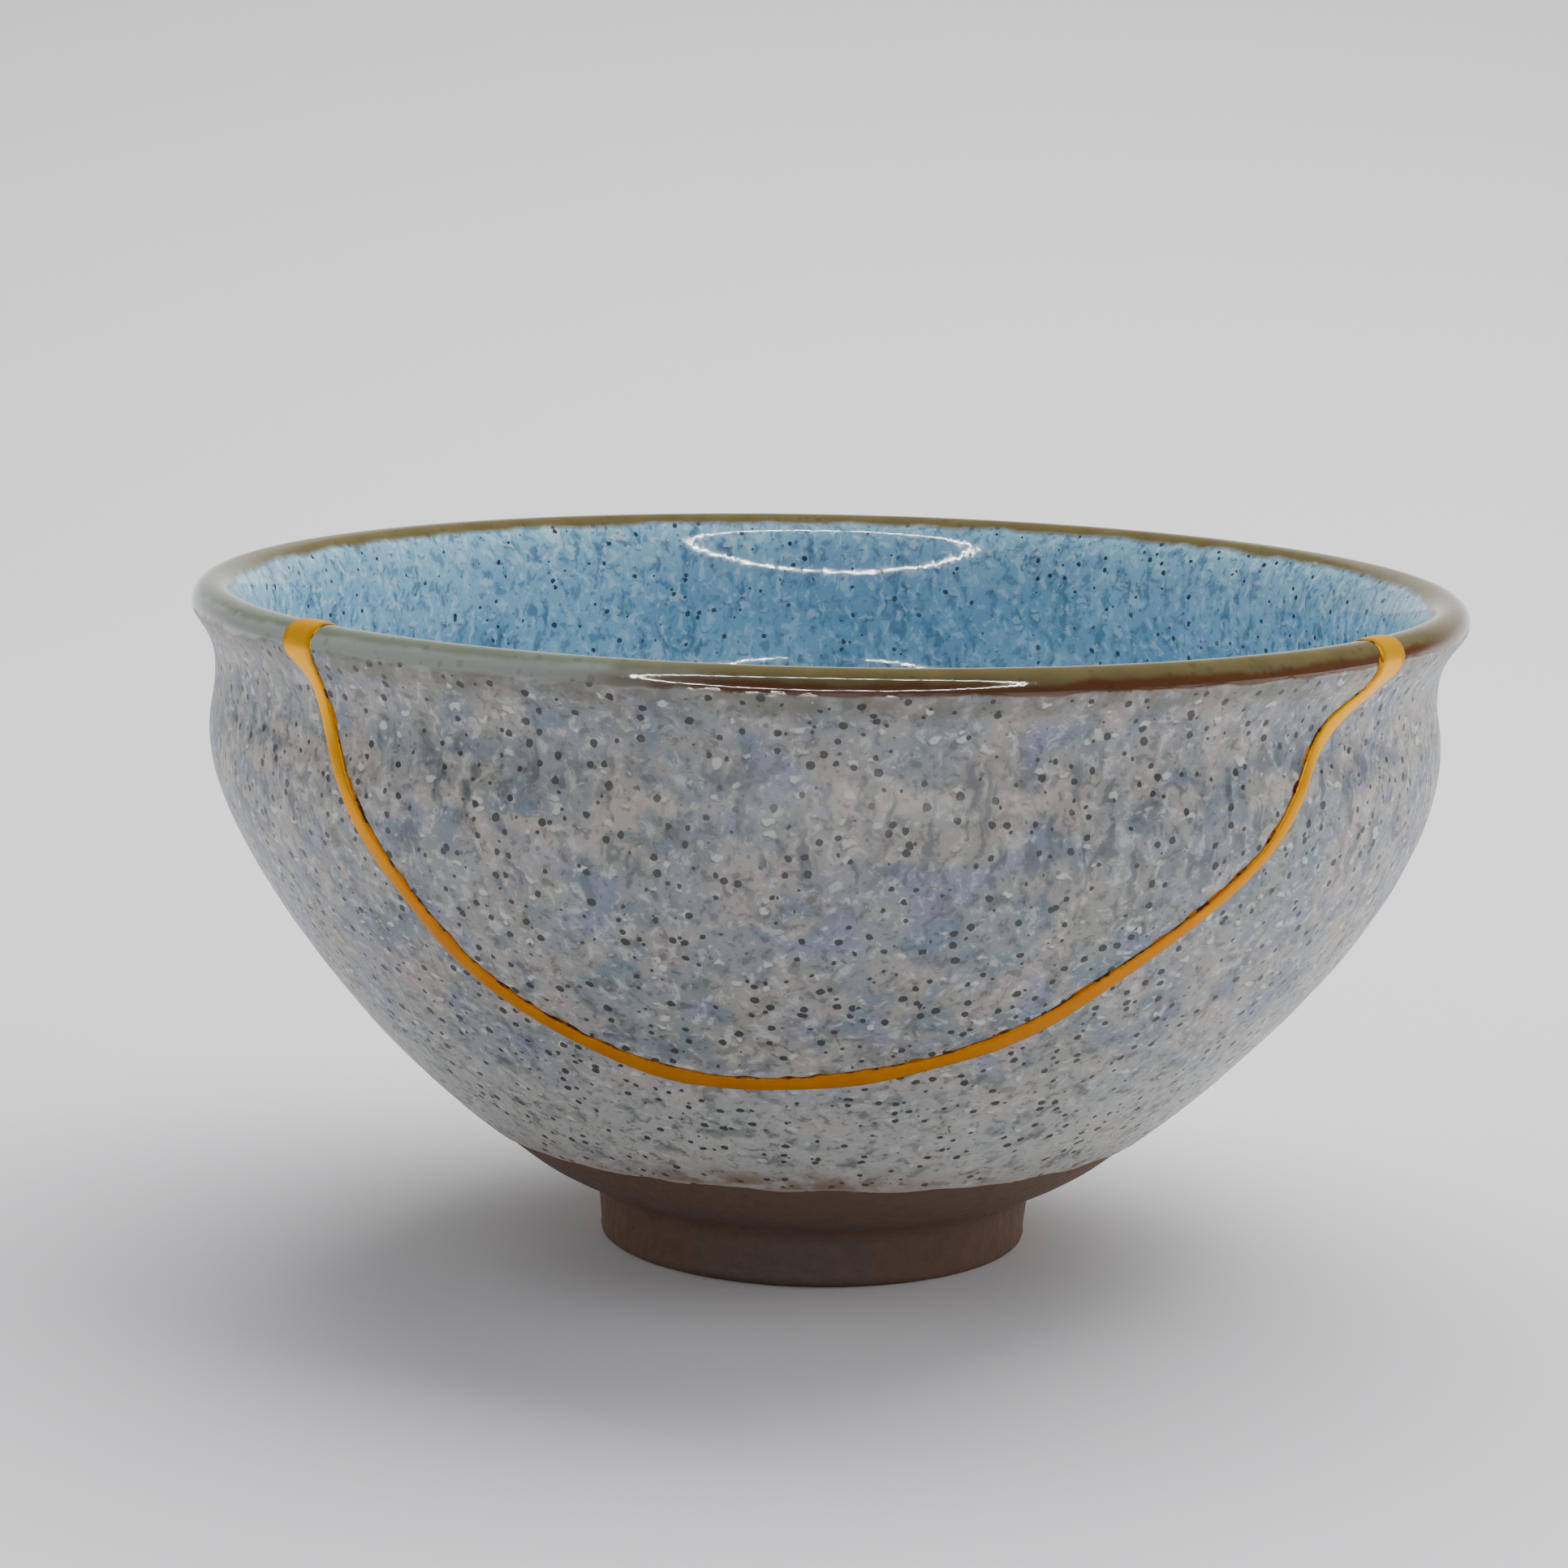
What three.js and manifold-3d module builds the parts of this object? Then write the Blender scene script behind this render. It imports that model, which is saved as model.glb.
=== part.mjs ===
// Kintsugi bowl: a hand-thrown stoneware bowl whose front wall broke out in one sherd,
// put back with gold lacquer. Millimetres, +Z up. The origin is on the surface that the
// foot stands on, under the middle of the rim. The mended sherd faces -Y.
import * as THREE from "three";
import { mergeVertices } from "three/addons/utils/BufferGeometryUtils.js";
import Module from "manifold-3d";

const wasm = await Module();
wasm.setup();

// Overall form
const rimRadius = 65;
const rimHeight = 68.7;
const lipOuterWidth = 2.15;
const lipOuterDrop = 2.2;

// The wall narrows from the lip to a waist, and swells to its belly below that
const flareWidth = 2.6;
const flareHeight = 7.1;
const bellySwell = 0.6;
const tuckHeight = 6.2;
const waistRadius = rimRadius - flareWidth;
const waistHeight = rimHeight - lipOuterDrop - flareHeight;
const bellyRadius = waistRadius + bellySwell;
const bellyHeight = waistHeight - tuckHeight;

// Fullness of the curves: how far each handle reaches, as a share of the stretch it shapes
const heelFullness = 0.365;
const bellyFullness = 0.32;
const waistFullness = 0.65;
const lipFullness = 0.21;
const crestFullness = 0.615;
const throatFullness = 0.655;
const floorFullness = 0.38;

// Foot ring, and the heel where the belly's curve meets it
const footRadius = 22.2;
const footTaper = 0.6;
const footTopRadius = footRadius + footTaper;
const heelShelf = 2.7;
const heelRadius = footTopRadius + heelShelf;
const heelHeight = 7.1;
const heelSlope = THREE.MathUtils.degToRad(23.2);
const footEdge = 0.9;
const footFillet = 1.4;
const ringWidth = 4.8;
const ringDraft = 0.5;
const recessDepth = 3.6;
const recessFillet = 1.2;

// Wall inside
const lipWall = 3.6;
const heelWall = 6.2;
const floorThickness = 5.6;

// Hand-thrown departures from a true turning
const leanAtFoot = 0.65;
const swell = 0.35;
const swellStart = 23.5;

// Gold seam: width on the wall and at the lip, how proud it stands, and the gap to the clay
const seamWidth = 1.9;
const seamLipWidth = 4.2;
const seamFlare = 6;
const seamBead = 0.35;
const seamGap = 0.3;

// The break is cut along rays from a point on the axis, so it crosses the wall squarely.
// The rays reach past the outside by a factor, and the cut rises past the rim at both ends.
const breakCentreDrop = 7.7;
const breakReach = 2;
const breakRise = 32.5;
const breakSteps = 72;

// The break's course: azimuth in degrees and share of the rim's height
const breakCourse = [
  [-140.1, 1.0], [-139.6, 0.945], [-138.4, 0.87], [-135.5, 0.79], [-131.2, 0.683],
  [-124.8, 0.542], [-116.7, 0.463], [-106.5, 0.41], [-96.5, 0.399], [-83.5, 0.42],
  [-70.0, 0.482], [-60.7, 0.58], [-49.1, 0.725], [-45.1, 0.805], [-41.6, 0.88],
  [-36.4, 0.94], [-35.0, 1.0],
];

// Faceting
const turnSegments = 64;
const bellySteps = 11;
const lipSteps = 4;
const throatSteps = 7;
const edgeSteps = 2;
const weldDistance = 1e-4;

// Returns points on a quarter of an ellipse from one angle to another
function ellipseArc(centreX, centreY, radiusX, radiusY, from, to, steps) {
  return Array.from({ length: steps + 1 }, (unused, i) => {
    const angle = THREE.MathUtils.lerp(from, to, i / steps);
    const x = centreX + radiusX * Math.cos(angle);
    return new THREE.Vector2(x, centreY + radiusY * Math.sin(angle));
  });
}

// Returns points on a cubic curve that leaves and arrives along its two handles
function handleCurve(start, startHandle, endHandle, end, steps) {
  const curve = new THREE.CubicBezierCurve(start, startHandle, endHandle, end);
  return curve.getPoints(steps);
}

// Outside of the foot: flat underside, rounded edge, tapered wall and fillet to the heel
function footOutline() {
  const taper = footTaper / heelHeight;
  const junctionHeight = heelHeight - heelShelf * Math.tan(heelSlope);
  const wallTop = junctionHeight - footFillet;
  const edge = ellipseArc(footRadius - footEdge, footEdge, footEdge, footEdge, -Math.PI / 2, 0, edgeSteps);
  const filletStart = new THREE.Vector2(footRadius + taper * wallTop, wallTop);
  const corner = new THREE.Vector2(footTopRadius, junctionHeight);
  const filletEnd = new THREE.Vector2(
    footTopRadius + footFillet * Math.cos(heelSlope),
    junctionHeight + footFillet * Math.sin(heelSlope),
  );
  const fillet = new THREE.QuadraticBezierCurve(filletStart, corner, filletEnd);
  return [...edge, ...fillet.getPoints(edgeSteps)];
}

// Outside wall from the heel over the belly and waist to the lip's widest point
function wallOutline() {
  const heel = new THREE.Vector2(heelRadius, heelHeight);
  const heelReach = heelFullness * (bellyRadius - heelRadius);
  const heelHandle = new THREE.Vector2(
    heelRadius + heelReach * Math.cos(heelSlope),
    heelHeight + heelReach * Math.sin(heelSlope),
  );
  const belly = new THREE.Vector2(bellyRadius, bellyHeight);
  const bellyRise = bellyFullness * (bellyHeight - heelHeight);
  const bellyHandle = new THREE.Vector2(bellyRadius, bellyHeight - bellyRise);
  const waist = new THREE.Vector2(waistRadius, waistHeight);
  const lipHeight = rimHeight - lipOuterDrop;
  const lip = new THREE.Vector2(rimRadius, lipHeight);
  const tuckIn = handleCurve(
    belly,
    new THREE.Vector2(bellyRadius, bellyHeight + tuckHeight / 2),
    new THREE.Vector2(waistRadius, waistHeight - tuckHeight / 2),
    waist,
    edgeSteps,
  );
  const flareOut = handleCurve(
    waist,
    new THREE.Vector2(waistRadius, waistHeight + waistFullness * flareHeight),
    new THREE.Vector2(rimRadius, lipHeight - lipFullness * flareHeight),
    lip,
    lipSteps,
  );
  const rise = handleCurve(heel, heelHandle, bellyHandle, belly, bellySteps);
  return [...rise, ...tuckIn.slice(1), ...flareOut.slice(1)];
}

// Rounded lip from its widest point to the crest
function lipOutline() {
  const crestRadius = rimRadius - lipOuterWidth;
  const lipHeight = rimHeight - lipOuterDrop;
  const arc = ellipseArc(crestRadius, lipHeight, lipOuterWidth, lipOuterDrop, 0, Math.PI / 2, lipSteps);
  return arc.slice(1);
}

// Left-hand normals of an open outline, one for each point
function outlineNormals(points) {
  return points.map((unused, i) => {
    const before = points[Math.max(i - 1, 0)];
    const after = points[Math.min(i + 1, points.length - 1)];
    const along = after.clone().sub(before).normalize();
    return new THREE.Vector2(-along.y, along.x);
  });
}

// Inside, from the crest down the flared throat to the waist. Below that the wall follows the
// outside at its own thickness, down to the dished floor.
function insideOutline(outside) {
  const normals = outlineNormals(outside);
  const wall = outside.map((point, i) => {
    const share = THREE.MathUtils.smoothstep(point.y, heelHeight, waistHeight);
    const thickness = THREE.MathUtils.lerp(heelWall, lipWall, share);
    return point.clone().addScaledVector(normals[i], thickness);
  });
  const below = wall.filter((unused, i) => outside[i].y <= waistHeight).reverse();
  const [crest, throat] = [new THREE.Vector2(rimRadius - lipOuterWidth, rimHeight), below[0]];
  const flare = handleCurve(
    crest,
    new THREE.Vector2(THREE.MathUtils.lerp(crest.x, throat.x, crestFullness), rimHeight),
    new THREE.Vector2(throat.x, THREE.MathUtils.lerp(throat.y, rimHeight, throatFullness)),
    throat,
    throatSteps,
  );
  const last = below[below.length - 1];
  const floorHeight = recessDepth + floorThickness;
  const reach = floorFullness * last.x;
  const floor = handleCurve(
    last,
    new THREE.Vector2(last.x - reach * Math.cos(heelSlope), last.y - reach * Math.sin(heelSlope)),
    new THREE.Vector2(reach, floorHeight),
    new THREE.Vector2(0, floorHeight),
    lipSteps,
  );
  return [...flare.slice(1), ...below.slice(1), ...floor.slice(1)];
}

// Recess under the foot, from its middle to the ring's flat underside
function recessOutline() {
  const ringInside = footRadius - ringWidth;
  const ceiling = new THREE.Vector2(0, recessDepth);
  const fillet = new THREE.QuadraticBezierCurve(
    new THREE.Vector2(ringInside - ringDraft - recessFillet, recessDepth),
    new THREE.Vector2(ringInside - ringDraft, recessDepth),
    new THREE.Vector2(ringInside - ringDraft / 2, recessDepth - recessFillet),
  );
  const edge = new THREE.Vector2(ringInside, footEdge);
  const flat = new THREE.Vector2(ringInside + footEdge, 0);
  return [ceiling, ...fillet.getPoints(edgeSteps), edge, flat];
}

// Moves an outline of the upper wall outwards all round, to give the seam its raised face.
// A point on the axis stays there.
function grownOutline(points, distance) {
  const normals = outlineNormals(points);
  return points.map((point, i) => {
    const grown = point.clone().addScaledVector(normals[i], -distance);
    return point.x > 0 ? grown : new THREE.Vector2(0, grown.y);
  });
}

// Axis offset of the leaning wall at a height, zero at the rim
function leanAt(height) {
  return (leanAtFoot * (height - rimHeight)) / rimHeight;
}

// Departure from round at an azimuth and height: one side swells where the other tucks in
function swellAt(azimuth, height) {
  const turn = (height - swellStart) / (rimHeight - swellStart);
  if (turn <= 0 || turn >= 1) return 0;
  return swell * Math.cos(azimuth) * Math.sin(2 * Math.PI * turn);
}

// Gives a turned shape the lean and swell of the thrown wall
function throwByHand(geometry) {
  const position = geometry.attributes.position;
  for (let i = 0; i < position.count; i += 1) {
    const x = position.getX(i);
    const y = position.getY(i);
    const z = position.getZ(i);
    const azimuth = Math.atan2(y, x);
    const radius = Math.hypot(x, y);
    const thrown = radius > 0 ? radius + swellAt(azimuth, z) : 0;
    position.setXYZ(i, thrown * Math.cos(azimuth) + leanAt(z), thrown * Math.sin(azimuth), z);
  }
  return geometry;
}

// Turns an outline about the Z axis
function turned(outline) {
  const geometry = new THREE.LatheGeometry(outline, turnSegments);
  geometry.rotateX(Math.PI / 2);
  return throwByHand(geometry);
}

// Converts a geometry with closed faces to a solid that can be cut
function toSolid(geometry) {
  const plain = geometry.clone();
  plain.deleteAttribute("normal");
  plain.deleteAttribute("uv");
  const merged = mergeVertices(plain, weldDistance);
  const index = merged.index.array;
  const faces = [];
  for (let i = 0; i < index.length; i += 3) {
    const [a, b, c] = [index[i], index[i + 1], index[i + 2]];
    if (a !== b && b !== c && c !== a) faces.push(a, b, c);
  }
  const mesh = new wasm.Mesh({
    numProp: 3,
    vertProperties: new Float32Array(merged.attributes.position.array),
    triVerts: new Uint32Array(faces),
  });
  return new wasm.Manifold(mesh);
}

// Converts a cut solid back to a geometry
function toGeometry(solid) {
  const mesh = solid.getMesh();
  const geometry = new THREE.BufferGeometry();
  geometry.setAttribute("position", new THREE.BufferAttribute(mesh.vertProperties, 3));
  geometry.setIndex(new THREE.BufferAttribute(mesh.triVerts, 1));
  geometry.computeVertexNormals();
  return geometry;
}

// Radius of the outside wall at a height
function outsideRadius(outside, height) {
  const above = outside.findIndex((point) => point.y >= height);
  if (above < 0) return rimRadius;
  if (above === 0) return outside[0].x;
  const [low, high] = [outside[above - 1], outside[above]];
  return THREE.MathUtils.mapLinear(height, low.y, high.y, low.x, high.x);
}

// Points of the break on the outside wall, from one end of the rim to the other
function breakPoints(outside) {
  const stations = breakCourse.map(([azimuth, share]) => new THREE.Vector3(azimuth, share * rimHeight, 0));
  const course = new THREE.CatmullRomCurve3(stations, false, "centripetal");
  const points = course.getPoints(breakSteps).map((station) => {
    const azimuth = THREE.MathUtils.degToRad(station.x);
    const radius = outsideRadius(outside, station.y) + swellAt(azimuth, station.y);
    return new THREE.Vector3(
      radius * Math.cos(azimuth) + leanAt(station.y), radius * Math.sin(azimuth), station.y,
    );
  });
  const lift = new THREE.Vector3(0, 0, breakRise);
  return [points[0].clone().add(lift), ...points, points[points.length - 1].clone().add(lift)];
}

// Half the seam's width at a height: it spreads where it wraps over the lip
function seamHalfWidth(height) {
  const share = THREE.MathUtils.smoothstep(height, rimHeight - seamFlare, rimHeight - lipOuterDrop);
  return THREE.MathUtils.lerp(seamWidth, seamLipWidth, share) / 2;
}

// Closed cone from the break's centre through the break, moved sideways by the seam's half
// width and an allowance. Side 1 moves it away from the sherd and -1 into the sherd.
function breakCone(points, side, allowance) {
  const apex = new THREE.Vector3(0, 0, rimHeight - breakCentreDrop);
  const rays = points.map((point, i) => {
    const before = points[Math.max(i - 1, 0)];
    const after = points[Math.min(i + 1, points.length - 1)];
    const along = after.clone().sub(before);
    const across = along.cross(point.clone().sub(apex)).normalize();
    const distance = side * (seamHalfWidth(point.z) + allowance);
    return point.clone().addScaledVector(across, distance).sub(apex);
  });
  const middle = rays.reduce((sum, ray) => sum.add(ray), new THREE.Vector3());
  middle.normalize().multiplyScalar(rimRadius);
  const corners = [apex, ...[middle, ...rays].map((ray) => apex.clone().addScaledVector(ray, breakReach))];
  const faces = [];
  for (let i = 0; i < rays.length; i += 1) {
    const here = i + 2;
    const next = ((i + 1) % rays.length) + 2;
    faces.push(0, next, here, 1, here, next);
  }
  const geometry = new THREE.BufferGeometry();
  const values = corners.flatMap((corner) => corner.toArray());
  geometry.setAttribute("position", new THREE.Float32BufferAttribute(values, 3));
  geometry.setIndex(faces);
  return toSolid(geometry);
}

const glazedClay = new THREE.MeshStandardMaterial({ color: 0xa9a8ae, roughness: 0.38, metalness: 0 });
const sherdClay = glazedClay.clone();
const goldLacquer = new THREE.MeshStandardMaterial({ color: 0xc58a1c, roughness: 0.42, metalness: 0.55 });

function namedMesh(name, solid, material) {
  const mesh = new THREE.Mesh(toGeometry(solid), material);
  mesh.name = name;
  return mesh;
}

function buildBowl() {
  const outside = wallOutline();
  const inside = insideOutline(outside);
  const upperWall = [...outside, ...lipOutline(), ...inside];
  const bowl = toSolid(turned([...recessOutline(), ...footOutline(), ...upperWall]));
  const grown = toSolid(turned([...recessOutline(), ...footOutline(), ...grownOutline(upperWall, seamBead)]));

  const course = breakPoints(outside);
  const opening = breakCone(course, 1, seamGap);
  const seamOuter = breakCone(course, 1, 0);
  const seamInner = breakCone(course, -1, 0);
  const sherd = breakCone(course, -1, seamGap);

  const group = new THREE.Group();
  group.add(namedMesh("bowl_body", bowl.subtract(opening), glazedClay));
  group.add(namedMesh("mended_sherd", bowl.intersect(sherd), sherdClay));
  group.add(namedMesh("gold_seam", grown.intersect(seamOuter.subtract(seamInner)), goldLacquer));
  return group;
}

export default buildBowl();
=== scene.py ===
import math

import bpy
import numpy as np
from mathutils import Matrix, Vector, noise
from mathutils.bvhtree import BVHTree
from mathutils.kdtree import KDTree


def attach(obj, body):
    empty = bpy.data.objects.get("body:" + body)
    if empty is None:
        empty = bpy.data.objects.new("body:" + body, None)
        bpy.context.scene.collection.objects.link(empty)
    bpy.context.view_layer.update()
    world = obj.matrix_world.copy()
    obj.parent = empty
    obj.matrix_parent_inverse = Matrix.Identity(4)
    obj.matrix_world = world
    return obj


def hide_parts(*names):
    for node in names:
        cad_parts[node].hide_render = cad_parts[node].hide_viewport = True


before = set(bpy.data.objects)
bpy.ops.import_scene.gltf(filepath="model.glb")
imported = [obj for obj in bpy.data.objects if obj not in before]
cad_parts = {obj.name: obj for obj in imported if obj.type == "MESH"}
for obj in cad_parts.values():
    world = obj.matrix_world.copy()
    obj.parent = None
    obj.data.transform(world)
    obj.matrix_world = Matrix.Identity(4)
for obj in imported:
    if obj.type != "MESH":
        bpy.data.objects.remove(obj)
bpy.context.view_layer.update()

METRE = 1000.0

# Overall form
RIM_RADIUS = 65.0
RIM_HEIGHT = 68.7
LIP_OUTER_WIDTH = 2.15
LIP_OUTER_DROP = 2.2
LIP_HEIGHT = RIM_HEIGHT - LIP_OUTER_DROP
CREST_RADIUS = RIM_RADIUS - LIP_OUTER_WIDTH

# The wall narrows from the lip to a waist, and swells to its belly below that
FLARE_WIDTH = 2.6
FLARE_HEIGHT = 7.1
BELLY_SWELL = 0.6
TUCK_HEIGHT = 6.2
WAIST_RADIUS = RIM_RADIUS - FLARE_WIDTH
WAIST_HEIGHT = LIP_HEIGHT - FLARE_HEIGHT
BELLY_RADIUS = WAIST_RADIUS + BELLY_SWELL
BELLY_HEIGHT = WAIST_HEIGHT - TUCK_HEIGHT

# Foot ring, and the heel where the belly's curve meets it
FOOT_RADIUS = 22.2
FOOT_TAPER = 0.6
FOOT_TOP_RADIUS = FOOT_RADIUS + FOOT_TAPER
HEEL_SHELF = 2.7
HEEL_RADIUS = FOOT_TOP_RADIUS + HEEL_SHELF
HEEL_HEIGHT = 7.1
HEEL_SLOPE = math.radians(23.2)
FOOT_EDGE = 0.9
FOOT_FILLET = 1.4
RING_WIDTH = 4.8
RING_DRAFT = 0.5
RECESS_DEPTH = 3.6
RECESS_FILLET = 1.2

# Fullness of the curves: how far each handle reaches, as a share of the stretch it shapes
HEEL_FULLNESS = 0.365
BELLY_FULLNESS = 0.32
WAIST_FULLNESS = 0.65
LIP_FULLNESS = 0.21
CREST_FULLNESS = 0.615
THROAT_FULLNESS = 0.655
FLOOR_FULLNESS = 0.38

# Wall inside, and hand-thrown departures from a true turning
LIP_WALL = 3.6
HEEL_WALL = 6.2
FLOOR_THICKNESS = 5.6
LEAN_AT_FOOT = 0.65
SWELL = 0.35
SWELL_START = 23.5

# Gold seam: widths, how proud it stands, and how deep it bites into the glaze
SEAM_WIDTH = 1.9
SEAM_LIP_WIDTH = 4.2
SEAM_FLARE = 6.0
SEAM_BEAD = 0.32
SEAM_SINK = 0.4
LACQUER_MARGIN = 0.3
LACQUER_HEM = 0.03
LACQUER_LIFT = 0.02
SECTION_STEPS = 12
LIP_INSIDE_REACH = 2.5
SECTION_FLATNESS = 0.55
SEAM_SPACING = 0.45
SEAM_SOFTENING = 3

# The line thins on the right: from no thinning at the first X to all of it at the second, and
# back to none from the first height up to the second
SEAM_THINNING = 0.28
THIN_SIDE = (25.0, 36.0)
THIN_TOP = (52.0, 66.0)

# Unevenness of the line: share (for the lacquer, the noise at which it is full), length of the
# waves in millimetres, and seed
WIDTH_WAVES = (0.22, 5.5, 4.7)
BEAD_WAVES = (0.25, 3.0, 9.1)
LACQUER_WAVES = (0.4, 1.7, 15.3)

# The break under the seam is cut along rays from a point on the axis. The rays reach to this
# many times the break's distance, the ends rise this far above the rim, and a hair is left open
# on each side
BREAK_CENTRE = np.array((0.0, 0.0, RIM_HEIGHT - 7.7))
BREAK_REACH = 2.0
BREAK_RISE = 32.5
BREAK_STEPS = 360
BREAK_HAIR = 0.05

# The break's course: azimuth in degrees and share of the rim's height
BREAK_COURSE = (
    (-140.1, 1.0), (-139.6, 0.945), (-138.4, 0.87), (-135.5, 0.79), (-131.2, 0.683),
    (-124.8, 0.542), (-116.7, 0.463), (-106.5, 0.41), (-96.5, 0.399), (-83.5, 0.42),
    (-70.0, 0.482), (-60.7, 0.58), (-49.1, 0.725), (-45.1, 0.805), (-41.6, 0.88),
    (-36.4, 0.94), (-35.0, 1.0),
)

# Glaze: the height of its lower edge, the step there, and the rim band's edges, measured along
# the surface from the lip's crest, negative on the outside
GLAZE_HEIGHT = 13.2
GLAZE_STEP = 0.22
RIM_OUTER_EDGE = -3.4
RIM_INNER_EDGE = 2.2

# Relief of the thrown surface: depth, then each wave's share and its length round and up the wall
RELIEF_DEPTH = 0.3
RELIEF_WAVES = ((0.5, 24.0, 20.0), (0.3, 60.0, 3.4), (0.2, 3.6, 3.6))
RELIEF_SEED = 7.3

# The surface is calmer inside the rim, where the glaze pooled, and less so further down. Each
# pair says between which places along the surface it changes
CALM_RISE = (-5.0, -1.5)
CALM_FALL = (10.0, 22.0)
CALM_SHARE = 0.88
CALM_LOSS = 0.35

# The glaze's lower edge wanders, in waves counted round a circle of this radius, and ends in a
# soft step over the bare clay
GLAZE_WANDER = 0.8
GLAZE_CIRCLE = 8.0
GLAZE_SEED = 3.1
GLAZE_EDGE = (-0.35, 0.25)
CLAY_FADE = (-7.0, -1.0)

# Between these heights the relief sets in above the level that the foot stands on
STANDING_FADE = (0.1, 1.6)

# Fineness of the meshes. The outline is finer at the lip, glaze line and foot: each detail says
# where (the lip's alone), how far it reaches to both sides and the closest spacing
CURVE_STEPS = 160
BODY_TURNS = 352
SHERD_TURNS = 600
COARSE_SPACING = 0.95
SPACING_GROWTH = 0.12
AXIS_SPACING = 2.0
LIP_DETAIL = (-1.0, 5.0, 0.4)
GLAZE_DETAIL = (1.6, 0.3)
FOOT_DETAIL = (7.0, 0.45)
SMOOTH_ANGLE = math.radians(35)

# Camera, fitted to the photo and placed from the middle of the rim: metres and degrees
CAMERA_DISTANCE = 0.45
CAMERA_ELEVATION = math.radians(7.01)
CAMERA_ROLL = math.radians(1.22)
CAMERA_YAW = math.radians(-0.566)
CAMERA_PITCH = math.radians(-2.675)
CAMERA_LENS = 100.75
SENSOR_WIDTH = 36.0


# Small numeric helpers

def smoothstep(value, low, high):
    share = np.clip((value - low) / (high - low), 0.0, 1.0)
    return share * share * (3.0 - 2.0 * share)


def unit(vectors):
    return vectors / np.linalg.norm(vectors, axis=-1, keepdims=True)


def lengths_along(points):
    steps = np.linalg.norm(np.diff(points, axis=0), axis=1)
    return np.concatenate(([0.0], np.cumsum(steps)))


def waves(points, seed):
    """Smooth noise between -1 and 1 at each point, the same on each run."""
    shift = Vector((seed, 2.0 * seed, -seed))
    return np.array([noise.noise(Vector(point) + shift) for point in points])


# Outlines of the turned shape, as radius and height

def ellipse_arc(centre, radii, start, end):
    angle = np.linspace(start, end, CURVE_STEPS + 1)[:, None]
    return np.array(centre) + np.array(radii) * np.hstack((np.cos(angle), np.sin(angle)))


def handle_curve(start, start_handle, end_handle, end):
    t = np.linspace(0.0, 1.0, CURVE_STEPS + 1)[:, None]
    start, start_handle, end_handle, end = map(np.array, (start, start_handle, end_handle, end))
    early = (1 - t) ** 3 * start + 3 * (1 - t) ** 2 * t * start_handle
    late = 3 * (1 - t) * t ** 2 * end_handle + t ** 3 * end
    return early + late


def corner_curve(start, corner, end):
    t = np.linspace(0.0, 1.0, CURVE_STEPS + 1)[:, None]
    start, corner, end = map(np.array, (start, corner, end))
    return (1 - t) ** 2 * start + 2 * (1 - t) * t * corner + t ** 2 * end


def recess_outline():
    inside = FOOT_RADIUS - RING_WIDTH
    fillet = corner_curve(
        (inside - RING_DRAFT - RECESS_FILLET, RECESS_DEPTH),
        (inside - RING_DRAFT, RECESS_DEPTH),
        (inside - RING_DRAFT / 2, RECESS_DEPTH - RECESS_FILLET),
    )
    edge = corner_curve((inside, FOOT_EDGE), (inside + FOOT_EDGE / 4, 0.0), (inside + FOOT_EDGE, 0.0))
    return np.vstack(([(0.0, RECESS_DEPTH)], fillet, edge))


def foot_outline():
    taper = FOOT_TAPER / HEEL_HEIGHT
    junction = HEEL_HEIGHT - HEEL_SHELF * math.tan(HEEL_SLOPE)
    wall_top = junction - FOOT_FILLET
    edge = ellipse_arc(
        (FOOT_RADIUS - FOOT_EDGE, FOOT_EDGE), (FOOT_EDGE, FOOT_EDGE), -math.pi / 2, 0.0,
    )
    fillet = corner_curve(
        (FOOT_RADIUS + taper * wall_top, wall_top),
        (FOOT_TOP_RADIUS, junction),
        (
            FOOT_TOP_RADIUS + FOOT_FILLET * math.cos(HEEL_SLOPE),
            junction + FOOT_FILLET * math.sin(HEEL_SLOPE),
        ),
    )
    return np.vstack((edge, fillet))


def wall_outline():
    """Outside wall from the heel over the belly and waist to the lip's widest point."""
    heel_reach = HEEL_FULLNESS * (BELLY_RADIUS - HEEL_RADIUS)
    belly_rise = BELLY_FULLNESS * (BELLY_HEIGHT - HEEL_HEIGHT)
    rise = handle_curve(
        (HEEL_RADIUS, HEEL_HEIGHT),
        (
            HEEL_RADIUS + heel_reach * math.cos(HEEL_SLOPE),
            HEEL_HEIGHT + heel_reach * math.sin(HEEL_SLOPE),
        ),
        (BELLY_RADIUS, BELLY_HEIGHT - belly_rise),
        (BELLY_RADIUS, BELLY_HEIGHT),
    )
    tuck_in = handle_curve(
        (BELLY_RADIUS, BELLY_HEIGHT),
        (BELLY_RADIUS, BELLY_HEIGHT + TUCK_HEIGHT / 2),
        (WAIST_RADIUS, WAIST_HEIGHT - TUCK_HEIGHT / 2),
        (WAIST_RADIUS, WAIST_HEIGHT),
    )
    flare_out = handle_curve(
        (WAIST_RADIUS, WAIST_HEIGHT),
        (WAIST_RADIUS, WAIST_HEIGHT + WAIST_FULLNESS * FLARE_HEIGHT),
        (RIM_RADIUS, LIP_HEIGHT - LIP_FULLNESS * FLARE_HEIGHT),
        (RIM_RADIUS, LIP_HEIGHT),
    )
    return np.vstack((rise, tuck_in[1:], flare_out[1:]))


def outward_normals(points):
    """Outward normals of an outline that runs up the outside and down the inside."""
    run = unit(np.gradient(points, axis=0))
    return np.column_stack((run[:, 1], -run[:, 0]))


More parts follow.
